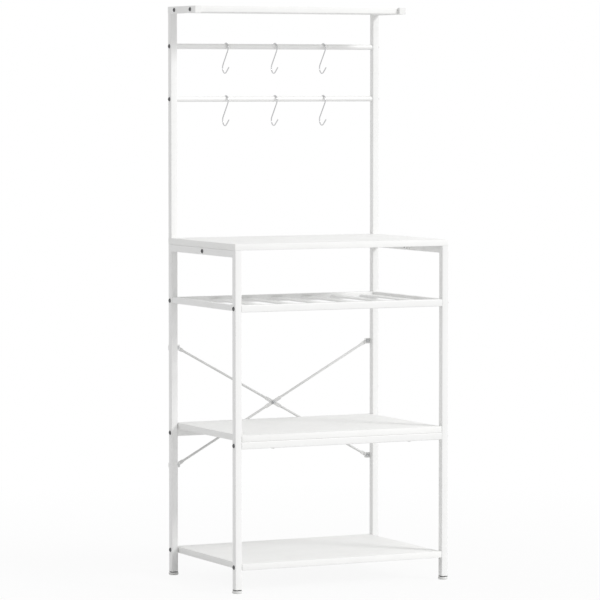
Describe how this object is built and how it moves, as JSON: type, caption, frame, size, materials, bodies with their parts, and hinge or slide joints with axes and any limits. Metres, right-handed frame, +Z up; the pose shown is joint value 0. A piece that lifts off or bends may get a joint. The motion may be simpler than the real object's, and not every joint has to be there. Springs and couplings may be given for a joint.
{
  "type": "shelf unit",
  "caption": "White kitchen rack of welded square tube with board shelves, a slatted shelf, a worktop, hook rails with S-hooks, a narrow top shelf, a crossed-rod brace and levelling feet",
  "frame": {"origin": "on the floor below the centre of the posts' rectangle", "axes": "+X to the right seen from the front, +Y to the back, +Z up"},
  "size_m": [0.607, 0.4172, 1.46],
  "materials": {
    "white_metal": "satin powder coat",
    "brace_metal": "satin powder coat",
    "white_laminate": "satin white laminate on particle board",
    "hook_metal": "polished plating",
    "bolt_steel": "dark satin",
    "zinc_steel": "zinc plated",
    "white_plastic": "satin",
    "foot_plastic": "satin",
    "plug_plastic": "matte"
  },
  "bodies": {
    "rack": {"left_lower_frame": "white_metal", "right_lower_frame": "white_metal", "left_upper_frame": "white_metal", "right_upper_frame": "white_metal", "middle_front_rail": "white_metal", "middle_rear_rail": "white_metal", "slatted_shelf": "white_metal", "upper_hook_rail": "white_metal", "lower_hook_rail": "white_metal", "top_board": "white_laminate", "worktop_board": "white_laminate", "middle_board": "white_laminate", "bottom_board": "white_laminate", "rising_brace_rod": "brace_metal", "falling_brace_rod": "brace_metal", "arm_bolts": "bolt_steel", "hook_rail_bolts": "bolt_steel", "slatted_shelf_bolts": "bolt_steel", "middle_rail_bolts": "bolt_steel", "bottom_board_bolts": "bolt_steel", "worktop_bracket_bolts": "bolt_steel", "brace_end_bolts": "bolt_steel", "brace_centre_bolt": "bolt_steel", "brace_end_nuts": "zinc_steel", "brace_centre_nut": "zinc_steel", "top_board_inserts": "zinc_steel", "bottom_board_inserts": "zinc_steel", "hook_rail_plugs": "zinc_steel", "slatted_shelf_plugs": "zinc_steel", "middle_rail_plugs": "zinc_steel", "post_joint_plugs": "zinc_steel", "post_joint_studs": "zinc_steel", "worktop_bracket_nuts": "zinc_steel", "worktop_screws": "zinc_steel", "middle_board_screws": "white_metal", "worktop_brackets": "white_metal", "arm_end_caps": "white_plastic", "foot_plugs": "plug_plastic"},
    "upper_left_hook": {"upper_left_hook": "hook_metal"},
    "upper_middle_hook": {"upper_middle_hook": "hook_metal"},
    "upper_right_hook": {"upper_right_hook": "hook_metal"},
    "lower_left_hook": {"lower_left_hook": "hook_metal"},
    "lower_middle_hook": {"lower_middle_hook": "hook_metal"},
    "lower_right_hook": {"lower_right_hook": "hook_metal"},
    "front_left_foot": {"front_left_foot_pad": "foot_plastic", "front_left_foot_stud": "zinc_steel"},
    "front_right_foot": {"front_right_foot_pad": "foot_plastic", "front_right_foot_stud": "zinc_steel"},
    "rear_left_foot": {"rear_left_foot_pad": "foot_plastic", "rear_left_foot_stud": "zinc_steel"},
    "rear_right_foot": {"rear_right_foot_pad": "foot_plastic", "rear_right_foot_stud": "zinc_steel"}
  },
  "joints": [
    {"name": "upper_left_hook_swing", "type": "hinge", "parent": "rack", "child": "upper_left_hook", "pos_m": [-0.14, 0.191, 1.359], "axis": [1, 0, 0], "range_deg": [-60, 60]},
    {"name": "upper_middle_hook_swing", "type": "hinge", "parent": "rack", "child": "upper_middle_hook", "pos_m": [0, 0.191, 1.359], "axis": [1, 0, 0], "range_deg": [-60, 60]},
    {"name": "upper_right_hook_swing", "type": "hinge", "parent": "rack", "child": "upper_right_hook", "pos_m": [0.14, 0.191, 1.359], "axis": [1, 0, 0], "range_deg": [-60, 60]},
    {"name": "lower_left_hook_swing", "type": "hinge", "parent": "rack", "child": "lower_left_hook", "pos_m": [-0.14, 0.191, 1.224], "axis": [1, 0, 0], "range_deg": [-60, 60]},
    {"name": "lower_middle_hook_swing", "type": "hinge", "parent": "rack", "child": "lower_middle_hook", "pos_m": [0, 0.191, 1.224], "axis": [1, 0, 0], "range_deg": [-60, 60]},
    {"name": "lower_right_hook_swing", "type": "hinge", "parent": "rack", "child": "lower_right_hook", "pos_m": [0.14, 0.191, 1.224], "axis": [1, 0, 0], "range_deg": [-60, 60]},
    {"name": "front_left_foot_travel", "type": "slide", "parent": "rack", "child": "front_left_foot", "axis": [0, 0, -1], "range_m": [0, 0.01]},
    {"name": "front_right_foot_travel", "type": "slide", "parent": "rack", "child": "front_right_foot", "axis": [0, 0, -1], "range_m": [0, 0.01]},
    {"name": "rear_left_foot_travel", "type": "slide", "parent": "rack", "child": "rear_left_foot", "axis": [0, 0, -1], "range_m": [0, 0.01]},
    {"name": "rear_right_foot_travel", "type": "slide", "parent": "rack", "child": "rear_right_foot", "axis": [0, 0, -1], "range_m": [0, 0.01]}
  ]
}
